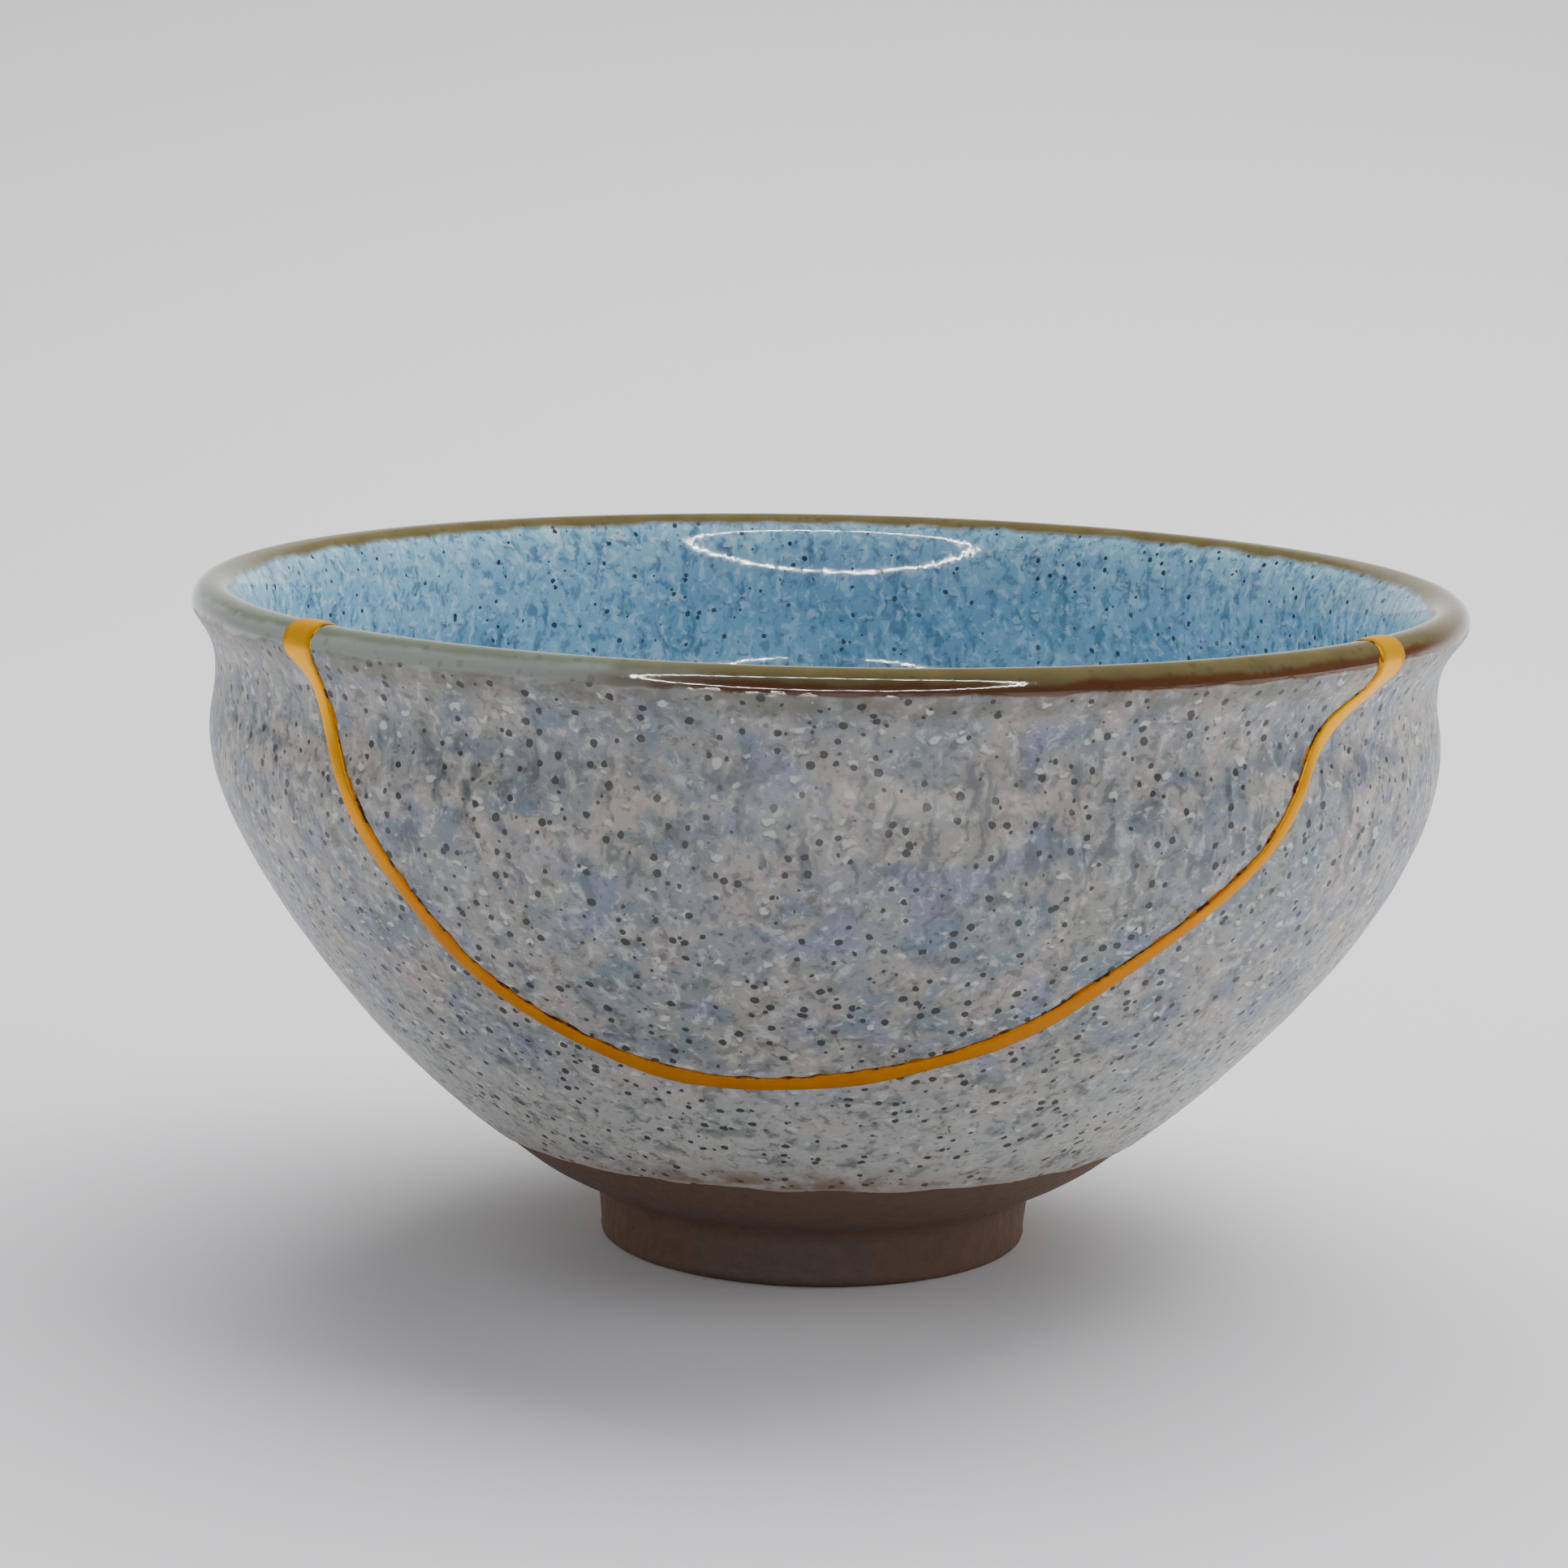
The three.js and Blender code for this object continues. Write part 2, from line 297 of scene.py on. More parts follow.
def inside_outline(outside):
    """Inside from the crest down the flared throat to the waist, then the wall at its own
    thickness from the outside, and the dished floor."""
    share = smoothstep(outside[:, 1], HEEL_HEIGHT, WAIST_HEIGHT)
    thickness = HEEL_WALL + (LIP_WALL - HEEL_WALL) * share
    wall = outside - outward_normals(outside) * thickness[:, None]
    wall = wall[outside[:, 1] <= WAIST_HEIGHT][::-1]
    throat_radius, throat_height = wall[0]
    throat = handle_curve(
        (CREST_RADIUS, RIM_HEIGHT),
        (CREST_RADIUS + CREST_FULLNESS * (throat_radius - CREST_RADIUS), RIM_HEIGHT),
        (throat_radius, throat_height + THROAT_FULLNESS * (RIM_HEIGHT - throat_height)),
        (throat_radius, throat_height),
    )
    last = wall[-1]
    floor_reach = FLOOR_FULLNESS * last[0]
    floor_height = RECESS_DEPTH + FLOOR_THICKNESS
    floor = handle_curve(
        last,
        last - floor_reach * np.array((math.cos(HEEL_SLOPE), math.sin(HEEL_SLOPE))),
        (floor_reach, floor_height),
        (0.0, floor_height),
    )
    return np.vstack((throat, wall[1:], floor[1:]))


def whole_outline():
    """The closed outline's points and their places along it, measured from the crest."""
    outside = wall_outline()
    lip = ellipse_arc(
        (CREST_RADIUS, LIP_HEIGHT), (LIP_OUTER_WIDTH, LIP_OUTER_DROP), 0.0, math.pi / 2,
    )
    below_crest = np.vstack((recess_outline(), foot_outline(), outside, lip[1:]))
    points = np.vstack((below_crest, inside_outline(outside)[1:]))
    places = lengths_along(points)
    return points, places - places[len(below_crest) - 1]


def place_at_height(points, places, height):
    """Where the outside wall passes a height, measured along the outline."""
    outside = (places < 0.0) & (points[:, 0] > HEEL_RADIUS)
    return float(np.interp(height, points[outside, 1], places[outside]))


def evenly_spaced(points, places, glaze_line):
    """The outline's points spaced closely at the lip, glaze line and foot, and wider between."""
    foot = places[0] + FOOT_RADIUS + RECESS_DEPTH
    fine = (LIP_DETAIL, (glaze_line, *GLAZE_DETAIL), (foot, *FOOT_DETAIL))
    spacing = np.full(len(places), COARSE_SPACING)
    for centre, reach, closest in fine:
        away = np.maximum(np.abs(places - centre) - reach, 0.0)
        spacing = np.minimum(spacing, closest + SPACING_GROWTH * away)
    near_axis = points[:, 0] < FOOT_RADIUS - RING_WIDTH - RING_DRAFT - RECESS_FILLET
    spacing = np.where(near_axis, AXIS_SPACING, spacing)
    gaps = np.diff(places) * (1.0 / spacing[1:] + 1.0 / spacing[:-1]) / 2
    count = np.concatenate(([0.0], np.cumsum(gaps)))
    wanted = np.interp(np.linspace(0.0, count[-1], math.ceil(count[-1])), count, places)
    return np.column_stack([np.interp(wanted, places, points[:, i]) for i in (0, 1)]), wanted


# The thrown shape in space

def lean_at(height):
    return LEAN_AT_FOOT * (height - RIM_HEIGHT) / RIM_HEIGHT


def swell_at(azimuth, height):
    turn = np.clip((height - SWELL_START) / (RIM_HEIGHT - SWELL_START), 0.0, 1.0)
    return SWELL * np.cos(azimuth) * np.sin(2 * math.pi * turn)


def thrown(azimuth, radius, height):
    """Points of the leaning, swelling wall from their place on the true turning."""
    reach = radius + np.where(radius > 0, swell_at(azimuth, height), 0.0)
    return np.stack(
        (reach * np.cos(azimuth) + lean_at(height), reach * np.sin(azimuth), height), axis=-1,
    )


def unthrown(points):
    """Radius and height of thrown points on the true turning."""
    x, y, height = points[:, 0] - lean_at(points[:, 2]), points[:, 1], points[:, 2]
    azimuth = np.arctan2(y, x)
    return np.column_stack((np.hypot(x, y) - swell_at(azimuth, height), height))


def relief(azimuth, outline, places, glaze_line):
    """How far the real surface lies inside the smooth one, from 0 to about half a millimetre."""
    radius, height = outline[:, 0], outline[:, 1]
    depth = np.zeros(len(places))
    for seed, (share, around, upward) in enumerate(RELIEF_WAVES):
        points = np.column_stack((
            radius * np.cos(azimuth) / around, radius * np.sin(azimuth) / around, places / upward,
        ))
        depth += RELIEF_DEPTH * share * (0.5 + 0.5 * waves(points, RELIEF_SEED * (seed + 1)))
    calm = smoothstep(places, *CALM_RISE) * (1.0 - CALM_LOSS * smoothstep(places, *CALM_FALL))
    standing = smoothstep(height, *STANDING_FADE)
    depth *= (1.0 - CALM_SHARE * calm) * standing
    ring = np.column_stack((np.cos(azimuth), np.sin(azimuth), np.zeros(len(azimuth))))
    line = glaze_line + GLAZE_WANDER * waves(GLAZE_CIRCLE * ring, GLAZE_SEED)
    below = 1.0 - smoothstep(places, line + GLAZE_EDGE[0], line + GLAZE_EDGE[1])
    heel = smoothstep(places, glaze_line + CLAY_FADE[0], glaze_line + CLAY_FADE[1])
    return depth + GLAZE_STEP * below * heel


def turned_surface(outline, places, glaze_line, turns):
    """Corners and faces of the closed, thrown surface."""
    normals = outward_normals(outline)
    rows = len(outline) - 2
    azimuth = np.tile(np.linspace(0.0, 2 * math.pi, turns, endpoint=False), rows)
    row = np.repeat(np.arange(1, rows + 1), turns)
    depth = relief(azimuth, outline[row], places[row], glaze_line)
    sunk = outline[row] - normals[row] * depth[:, None]
    ring_corners = thrown(azimuth, sunk[:, 0], np.maximum(sunk[:, 1], 0.0))
    poles = thrown(np.zeros(2), np.zeros(2), outline[[0, -1], 1])
    corners = np.vstack((ring_corners, poles))
    here = np.arange(turns)
    following = (here + 1) % turns
    faces = []
    for start in range(0, (rows - 1) * turns, turns):
        above = start + turns
        quads = np.column_stack((start + here, start + following, above + following, above + here))
        faces.extend(quads.tolist())
    bottom, top = len(corners) - 2, len(corners) - 1
    last = (rows - 1) * turns
    for i, j in zip(here.tolist(), following.tolist()):
        faces.append((bottom, j, i))
        faces.append((top, last + i, last + j))
    return corners, faces


def mesh_object(name, corners, faces):
    """An object from corners in millimetres."""
    mesh = bpy.data.meshes.new(name)
    mesh.from_pydata((corners / METRE).tolist(), [], faces)
    mesh.validate()
    made = bpy.data.objects.new(name, mesh)
    bpy.context.scene.collection.objects.link(made)
    return made


def mesh_corners(piece):
    """A piece's corners in millimetres."""
    values = np.zeros(len(piece.data.vertices) * 3)
    piece.data.vertices.foreach_get("co", values)
    return values.reshape(-1, 3) * METRE


# The break

def course_through(stations, steps):
    """Points on the centripetal Catmull-Rom curve through stations."""
    stations = np.array(stations, float)
    before = 2 * stations[0] - stations[1]
    after = 2 * stations[-1] - stations[-2]
    knots = np.vstack((before, stations, after))
    points = []
    for place in np.linspace(0.0, len(stations) - 1, steps + 1):
        i = min(int(place), len(stations) - 2)
        t = place - i
        p0, p1, p2, p3 = knots[i:i + 4]
        d0, d1, d2 = (math.sqrt(np.linalg.norm(b - a)) for a, b in ((p0, p1), (p1, p2), (p2, p3)))
        start = d1 * ((p1 - p0) / d0 - (p2 - p0) / (d0 + d1) + (p2 - p1) / d1)
        end = d1 * ((p2 - p1) / d1 - (p3 - p1) / (d1 + d2) + (p3 - p2) / d2)
        square = -3 * p1 + 3 * p2 - 2 * start - end
        cube = 2 * p1 - 2 * p2 + start + end
        points.append(p1 + start * t + square * t ** 2 + cube * t ** 3)
    return np.array(points)


def break_points():
    """Points of the break on the smooth outside wall, from one end of the rim to the other."""
    stations = [(azimuth, share * RIM_HEIGHT) for azimuth, share in BREAK_COURSE]
    course = course_through(stations, BREAK_STEPS)
    azimuth, height = np.radians(course[:, 0]), course[:, 1]
    wall = wall_outline()
    return thrown(azimuth, np.interp(height, wall[:, 1], wall[:, 0]), height)


def break_cone(points, offset):
    """Closed cone from the break's centre through the break, moved away from the sherd."""
    rise = np.array((0.0, 0.0, BREAK_RISE))
    points = np.vstack((points[0] + rise, points, points[-1] + rise))
    rays = points - BREAK_CENTRE
    across = unit(np.cross(np.gradient(points, axis=0), rays))
    rays = points + across * offset - BREAK_CENTRE
    middle = unit(rays.sum(axis=0)) * RIM_RADIUS
    corners = np.vstack((BREAK_CENTRE, BREAK_CENTRE + BREAK_REACH * np.vstack((middle, rays))))
    faces = []
    for i in range(len(rays)):
        here, following = i + 2, (i + 1) % len(rays) + 2
        faces.append((0, following, here))
        faces.append((1, here, following))
    return mesh_object("break_cone", corners, faces)


def combine(piece, tool, operation):
    """Cuts, joins or keeps the overlap of a closed piece with a closed tool."""
    modifier = piece.modifiers.new("combine", "BOOLEAN")
    modifier.operation = operation
    modifier.solver = "MANIFOLD"
    modifier.object = tool
    graph = bpy.context.evaluated_depsgraph_get()
    mesh = bpy.data.meshes.new_from_object(piece.evaluated_get(graph))
    piece.modifiers.clear()
    piece.data = mesh
    bpy.data.objects.remove(tool)


def smooth_shading(piece):
    piece.data.shade_smooth()
    piece.data.set_sharp_from_angle(angle=SMOOTH_ANGLE)


# Gold seam

def seam_half_width(height):
    share = smoothstep(height, RIM_HEIGHT - SEAM_FLARE, LIP_HEIGHT)
    return (SEAM_WIDTH + (SEAM_LIP_WIDTH - SEAM_WIDTH) * share) / 2


def seam_path(surface, points, outline, places):
    """Points and normals of the loop that the gold follows: down and up the outside, over
    the lip, back inside and over the lip again."""
    outer, inner = [], []
    for point in points[points[:, 2] <= LIP_HEIGHT]:
        way = Vector(unit(point - BREAK_CENTRE))
        spot, normal, _, _ = surface.ray_cast(Vector(BREAK_CENTRE), way)
        inner.append((*spot, *normal))
        spot, normal, _, _ = surface.ray_cast(spot + way, way)
        outer.append((*spot, *normal))
    lips = []
    over = outline[(places > -LIP_OUTER_DROP) & (places < LIP_INSIDE_REACH)]
    for degrees in (BREAK_COURSE[-1][0], BREAK_COURSE[0][0]):
        azimuth = np.full(len(over), math.radians(degrees))
        spots = thrown(azimuth, over[:, 0], over[:, 1])
        hits = [surface.find_nearest(Vector(spot)) for spot in spots]
        lips.append([(*hit[0], *hit[1]) for hit in hits])
    return np.array(outer + lips[0] + inner[::-1] + lips[1][::-1])


def resampled_loop(path, spacing, softness):
    """A closed path at even spacing, with its points and normals smoothed along it."""
    closed = np.vstack((path, path[:1]))
    places = lengths_along(closed[:, :3])
    count = round(places[-1] / spacing)
    wanted = np.linspace(0.0, places[-1], count, endpoint=False)
    path = np.column_stack([np.interp(wanted, places, closed[:, i]) for i in range(6)])
    for _ in range(softness):
        path = (np.roll(path, 1, axis=0) + 2 * path + np.roll(path, -1, axis=0)) / 4
    return path[:, :3], unit(path[:, 3:])


def seam_band(points, normals):
    """The closed band of gold, with its stations' sideways directions and half widths."""
    run = unit(np.roll(points, -1, axis=0) - np.roll(points, 1, axis=0))
    normals = unit(normals - run * (normals * run).sum(axis=1, keepdims=True))
    across = np.cross(normals, run)
    aside = smoothstep(points[:, 0], *THIN_SIDE)
    slender = SEAM_THINNING * aside * (1 - smoothstep(points[:, 2], *THIN_TOP))
    uneven, length, seed = WIDTH_WAVES
    half = seam_half_width(points[:, 2]) * (1 - slender + uneven * waves(points / length, seed))
    uneven, length, seed = BEAD_WAVES
    bead = SEAM_BEAD * (1 - uneven * np.abs(waves(points / length, seed)))
    full_at, length, seed = LACQUER_WAVES
    runs = smoothstep(waves(points / length, seed), 0.0, full_at)
    margin = LACQUER_MARGIN * runs + LACQUER_HEM
    section = []
    for angle in np.linspace(math.pi, 0.0, SECTION_STEPS + 1):
        lift = bead * max(math.sin(angle), 0.0) ** SECTION_FLATNESS
        section.append((half * math.cos(angle), lift))
    top, bottom = np.full(len(half), LACQUER_LIFT), np.full(len(half), -SEAM_SINK)
    section.extend(((half + margin, top), (half + margin, bottom), (-half, bottom)))
    corners = np.stack([
        points + across * side[:, None] + normals * lift[:, None] for side, lift in section
    ], axis=1)
    count, around = corners.shape[:2]
    faces = []
    for i in range(count):
        for j in range(around):
            k, m = (i + 1) % count, (j + 1) % around
            faces.append((i * around + j, i * around + m, k * around + m, k * around + j))
    return mesh_object("gold_seam_line", corners.reshape(-1, 3), faces), across, half


# Values that the shaders read from each corner

def add_value(piece, name, values):
    attribute = piece.data.attributes.new(name, "FLOAT", "POINT")
    attribute.data.foreach_set("value", values.astype(np.float32))


def nearest_place(points, outline, places):
    """Place along the outline of the nearest outline point, for each point."""
    tree = KDTree(len(outline))
    for i, (radius, height) in enumerate(outline):
        tree.insert((radius, height, 0.0), i)
    tree.balance()
    return np.array([places[tree.find((radius, height, 0.0))[1]] for radius, height in points])


def sideways_share(points, stations, across, half):
    """Where each point lies across the seam: -1 and 1 are the gold's edges."""
    tree = KDTree(len(stations))
    for i, station in enumerate(stations):
        tree.insert(Vector(station), i)
    tree.balance()
    nearest = [tree.find(Vector(point))[1] for point in points]
    aside = ((points - stations[nearest]) * across[nearest]).sum(axis=1)
    return aside / half[nearest]


# Materials

def srgb(red, green, blue):
    """Linear colour from an 8-bit sRGB one."""
    shares = (value / 255 for value in (red, green, blue))
    return (*(s / 12.92 if s <= 0.04045 else ((s + 0.055) / 1.055) ** 2.4 for s in shares), 1.0)


def grey(value):
    """A value as a colour, to mix with others."""
    return (value, value, value, 1.0)


# Outside glaze
COOL_GREY = srgb(138, 144, 146)
WARM_GREY = srgb(160, 152, 144)
OLIVE_GREY = srgb(140, 140, 124)
TEAL = srgb(104, 121, 134)
PERIWINKLE = srgb(120, 128, 158)
PALE_GREY = srgb(198, 198, 190)
CREAM = srgb(192, 178, 162)
SHADE = srgb(86, 92, 96)
DARK_GRAIN = srgb(76, 80, 82)
LIGHT_GRAIN = srgb(196, 195, 190)
DRIP = srgb(74, 84, 94)

# Inside glaze
BLUE = srgb(130, 172, 200)
PALE_BLUE = srgb(150, 194, 214)
# Paler blue inside near the rim: painted reflection of the bright room above
REFLECTION_BLUE = srgb(156, 206, 228)
NAVY_RUN = srgb(64, 100, 130)
DEEP_GRAIN = srgb(80, 120, 152)
ICE_GRAIN = srgb(200, 224, 234)

# Rim glaze
RIM_GREEN = srgb(100, 110, 92)
RIM_PALE_GREEN = srgb(126, 136, 120)
RIM_HAZE = srgb(168, 174, 168)
RIM_OLIVE = srgb(82, 72, 40)
RIM_PALE_OLIVE = srgb(116, 104, 64)
RIM_BURNT = srgb(88, 50, 16)
RIM_CREAM = srgb(206, 194, 172)
# Olive-brown band below the lip: painted shade under the lip's overhang
UNDER_RIM_SHADE = srgb(108, 102, 84)

# Pits, specks and stains
# Dark crescent beside each pale pit: painted shadow
CRESCENT_SHADOW = srgb(62, 70, 76)
WHITE_PIT = srgb(214, 213, 206)
BLUE_PIT = srgb(190, 218, 232)
STAIN = srgb(122, 92, 62)
THIN_GLAZE = srgb(190, 168, 142)
FAINT_SPECK = srgb(60, 62, 66)
SPECK = srgb(20, 20, 21)
BLUE_SPECK = srgb(26, 44, 60)

# Clay and gold
CLAY = srgb(76, 53, 36)
PALE_CLAY = srgb(104, 76, 52)
DEEP_GOLD = srgb(190, 108, 0)
GOLD = srgb(214, 142, 0)
# Lighter gold towards the lip: painted light on the one gold
LIT_LIP_GOLD = srgb(255, 182, 0)
# Darker gold at the bead's edges: painted shade
GOLD_EDGE_SHADE = srgb(140, 78, 0)
LACQUER = srgb(78, 34, 18)

# Floor
PAPER = srgb(237, 236, 240)
PAPER_CLOUD = srgb(233, 233, 238)
# Darker paper up the backdrop: painted shade of the light falling off
BACKDROP_SHADE = srgb(192, 192, 186)

# Pits and specks in millimetres: spacing, smallest and largest radius, and softness of the edge
PITS = (2.4, 0.15, 0.7, 0.3)
CRESCENT_SHADOW_SHIFT = (0.1, 0.2, 0.34)
FAINT_SPECKS = (1.2, 0.1, 0.3, 0.1)
SPECKS = (1.5, 0.2, 0.45, 0.06)
SPECK_LOSS_INSIDE = 0.07

# Surface of the glaze and clay: roughness, refraction and the height of fine ripples
SATIN_ROUGHNESS = 0.42
GLOSSY_ROUGHNESS = 0.07
CLAY_ROUGHNESS = 0.75
GLAZE_IOR = 1.65
GLAZE_RIPPLE = 0.16

# Surface of the gold, and the heights between which painted light brightens it towards the lip
GOLD_ROUGHNESS = (0.34, 0.48)
GOLD_METAL = 0.6
GOLD_IOR = 1.3
GOLD_RIPPLE = 0.02
GOLD_LIGHT_RISE = (40.0, 66.0)

# Heights at which the outside's colours begin and are full, then where a band's begin to end
BLUE_RISE = (18.0, 34.0)
PALE_FALL = (34.0, 17.0)
CREAM_BAND = ((48.0, 53.0), (60.0, 57.0))
DRIP_BAND = ((43.0, 49.0), (63.0, 58.0))

# Places along the surface at which colours of the inside and rim begin and are full
REFLECTION_FALL = (13.0, 3.0)
HAZE_EDGE = (-1.3, -2.1)
BURNT_EDGE = (-1.9, -2.6)
CREAM_EDGE = (-3.3, -3.6)
UNDER_SHADE_EDGE = (-7.5, -4.6)
EDGE_WANDER = 1.6

# The rim is green up to the first X, and olive from the second
OLIVE_REACH = (-27.0, -5.0)

# The glaze's lower edge: half its softness, and how far above it the tan stain and the thin pale
# glaze begin and are full. The stain's middle lies left of the axis, and from there it is full up
# to one distance and weak beyond the other
CLAY_EDGE = 0.1
STAIN_TOP = 6.5
STAIN_FULL = 1.2
STAIN_LEFT = 4.0
STAIN_SIDES = (17.0, 5.0)
THIN_TOP_EDGE = 0.9
THIN_FULL = 0.3

# Shifts that keep patterns of like size from lining up
OLIVE_SHIFT = (9.0, 31.0, 5.0)
VIOLET_SHIFT = (40.0, 7.0, 3.0)
FAINT_SHIFT = (3.0, 5.0, 7.0)

# Paper: its roughness, and the heights between which painted shade darkens it where it rises behind
# the bowl
PAPER_ROUGHNESS = 0.9
BACKDROP_SHADE_RISE = (5.0, 240.0)


class Shader:
    """A material under construction. Each call adds nodes and returns an output. Sizes are in
    millimetres and shares run from 0 to 1. Where noise makes patches, a ramp says at which noise
    a patch begins, at which it is full, and its share at both."""

    def __init__(self, name):
        self.material = bpy.data.materials.new(name)
        self.material.use_nodes = True
        self.tree = self.material.node_tree
        self.tree.nodes.clear()

    def feed(self, socket, value):
        if isinstance(value, bpy.types.NodeSocket):
            self.tree.links.new(value, socket)
        else:
            socket.default_value = value

    def node(self, kind, inputs, **settings):
        made = self.tree.nodes.new(kind)
        for name, value in settings.items():
            setattr(made, name, value)
        for name, value in inputs.items():
            self.feed(made.inputs[name], value)
        return made

    def millimetres(self):
        place = self.node("ShaderNodeTexCoord", {}).outputs["Object"]
        return self.stretched(place, (METRE, METRE, METRE))

    def stretched(self, place, factors):
        return self.node(
            "ShaderNodeVectorMath", {0: place, 1: factors}, operation="MULTIPLY",
        ).outputs["Vector"]

    def moved(self, place, offset):
        return self.node(
            "ShaderNodeVectorMath", {0: place, 1: offset}, operation="ADD",
        ).outputs["Vector"]

    def value(self, name):
        return self.node("ShaderNodeAttribute", {}, attribute_name=name).outputs["Fac"]

    def part(self, place, axis):
        return self.node("ShaderNodeSeparateXYZ", {0: place}).outputs[axis]

    def math(self, operation, first, second=0.0):
        return self.node("ShaderNodeMath", {0: first, 1: second}, operation=operation).outputs[0]

    def times(self, first, second):
        return self.math("MULTIPLY", first, second)

    def plus(self, first, second):
        return self.math("ADD", first, second)

    def rest(self, share):
        return self.math("SUBTRACT", 1.0, share)

    def zone(self, value, rise, fall):
        """1 between the rise and the fall, and 0 outside them."""
        return self.times(self.ramp(value, *rise), self.ramp(value, *fall))

    def ramp(self, value, low, high, start=0.0, end=1.0):
        """A smooth step: start where the value is at low, and end where it is at high."""
        return self.node(
            "ShaderNodeMapRange", {0: value, 1: low, 2: high, 3: start, 4: end},
            interpolation_type="SMOOTHSTEP",
        ).outputs[0]

    def mix(self, share, first, second):
        inputs = {0: share, 6: first, 7: second}
        return self.node("ShaderNodeMix", inputs, data_type="RGBA").outputs[2]

    def noise(self, place, size, detail=2.0, roughness=0.5):
        """Noise whose lumps are about so many millimetres wide."""
        inputs = {
            "Vector": place, "Scale": 1 / size, "Detail": detail, "Roughness": roughness,
        }
        return self.node("ShaderNodeTexNoise", inputs).outputs[0]

    def warp(self, place, size):
        """A shift that wanders by half a unit each way, in lumps of the size."""
        inputs = {"Vector": place, "Scale": 1 / size, "Detail": 1.0}
        colour = self.node("ShaderNodeTexNoise", inputs).outputs[1]
        return self.moved(colour, (-0.5, -0.5, -0.5))

    def warped(self, place, warp, amount):
        """The place moved about by a warp, up to half the amount each way."""
        shift = self.stretched(warp, (amount, amount, amount))
        return self.moved(place, shift)

    def spots(self, place, spacing, smallest, largest, softness, less=0.0):
        """Round spots at scattered points: 1 inside and 0 outside, with random radii."""
        cells = self.node("ShaderNodeTexVoronoi", {"Vector": place, "Scale": 1 / spacing})
        distance, colour = cells.outputs["Distance"], cells.outputs["Color"]
        chance = self.node("ShaderNodeSeparateColor", {0: colour}).outputs[0]
        radius = self.ramp(chance, 0.0, 1.0, smallest / spacing, largest / spacing)
        inner = self.math("SUBTRACT", self.math("SUBTRACT", radius, distance), less)
        return self.ramp(inner, 0.0, softness / spacing)

    def bump(self, height, depth):
        """A normal bent by a height between 0 and 1 that stands so many millimetres tall."""
        inputs = {"Height": height, "Distance": depth / METRE, "Strength": 1.0}
        return self.node("ShaderNodeBump", inputs).outputs["Normal"]

    def finish(self, colour, roughness, normal=None, **constants):
        inputs = {"Base Color": colour, "Roughness": roughness, **constants}
        if normal is not None:
            inputs["Normal"] = normal
        shader = self.node("ShaderNodeBsdfPrincipled", inputs)
        output = self.node("ShaderNodeOutputMaterial", {})
        self.tree.links.new(shader.outputs[0], output.inputs["Surface"])
        return self.material


def outside_glaze(s, place, height, warp):
    """Colour of the satin outside: mottled greys, blues, cream bands and drips."""
    colour = s.mix(s.ramp(s.noise(place, 8.0), 0.4, 0.6), COOL_GREY, WARM_GREY)
    olive = s.ramp(s.noise(s.moved(place, OLIVE_SHIFT), 9.0), 0.5, 0.66, 0.0, 0.6)
    colour = s.mix(olive, colour, OLIVE_GREY)
    blue = s.ramp(height, *BLUE_RISE, 0.3, 1.0)
    teal = s.ramp(s.noise(place, 6.0, 2.0, 0.65), 0.47, 0.64, 0.0, 0.85)
    colour = s.mix(s.times(teal, blue), colour, TEAL)
    violet = s.ramp(s.noise(s.moved(place, VIOLET_SHIFT), 8.0), 0.57, 0.69, 0.0, 0.6)
    colour = s.mix(s.times(violet, blue), colour, PERIWINKLE)
    colour = s.mix(s.ramp(height, *PALE_FALL, 0.0, 0.6), colour, PALE_GREY)

    cream_at = s.stretched(s.warped(place, warp, 3.0), (0.35, 0.35, 1.3))
    cream = s.ramp(s.noise(cream_at, 3.6), 0.5, 0.64, 0.0, 0.6)
    colour = s.mix(s.times(cream, s.zone(height, *CREAM_BAND)), colour, CREAM)

    shade_at = s.stretched(s.warped(place, warp, 2.4), (1.0, 1.0, 0.7))
    shade = s.ramp(s.noise(shade_at, 2.8, 2.0, 0.62), 0.52, 0.66, 0.0, 0.5)
    colour = s.mix(shade, colour, SHADE)
    grain = s.noise(s.warped(place, warp, 1.8), 1.3, 3.0, 0.65)
    colour = s.mix(s.ramp(grain, 0.46, 0.34, 0.0, 0.65), colour, DARK_GRAIN)
    colour = s.mix(s.ramp(grain, 0.53, 0.66, 0.0, 0.65), colour, LIGHT_GRAIN)
    drips_at = s.stretched(s.warped(place, warp, 2.2), (1.0, 1.0, 0.25))
    drips = s.ramp(s.noise(drips_at, 1.7), 0.56, 0.68, 0.0, 0.75)
    return s.mix(s.times(drips, s.zone(height, *DRIP_BAND)), colour, DRIP)


def inside_glaze(s, place, along, warp):
    """Colour of the glossy inside: clouded blue, with a painted reflection that makes it paler near
    the rim, and short dark runs.
    """
    cloud = s.ramp(s.noise(place, 11.0, 2.0, 0.6), 0.36, 0.64)
    colour = s.mix(cloud, BLUE, PALE_BLUE)
    # Painted reflection: paler blue near the rim
    colour = s.mix(s.ramp(along, *REFLECTION_FALL, 0.0, 0.45), colour, REFLECTION_BLUE)
    streak_at = s.stretched(s.warped(place, warp, 1.8), (1.0, 1.0, 0.4))
    streaks = s.ramp(s.noise(streak_at, 1.6, 3.0, 0.6), 0.55, 0.67, 0.0, 0.65)
    colour = s.mix(streaks, colour, NAVY_RUN)
    grain_at = s.stretched(s.warped(place, warp, 2.0), (1.0, 1.0, 0.75))
    grain = s.noise(grain_at, 1.1, 2.0, 0.6)
    colour = s.mix(s.ramp(grain, 0.46, 0.34, 0.0, 0.6), colour, DEEP_GRAIN)
    return s.mix(s.ramp(grain, 0.54, 0.64, 0.0, 0.75), colour, ICE_GRAIN)


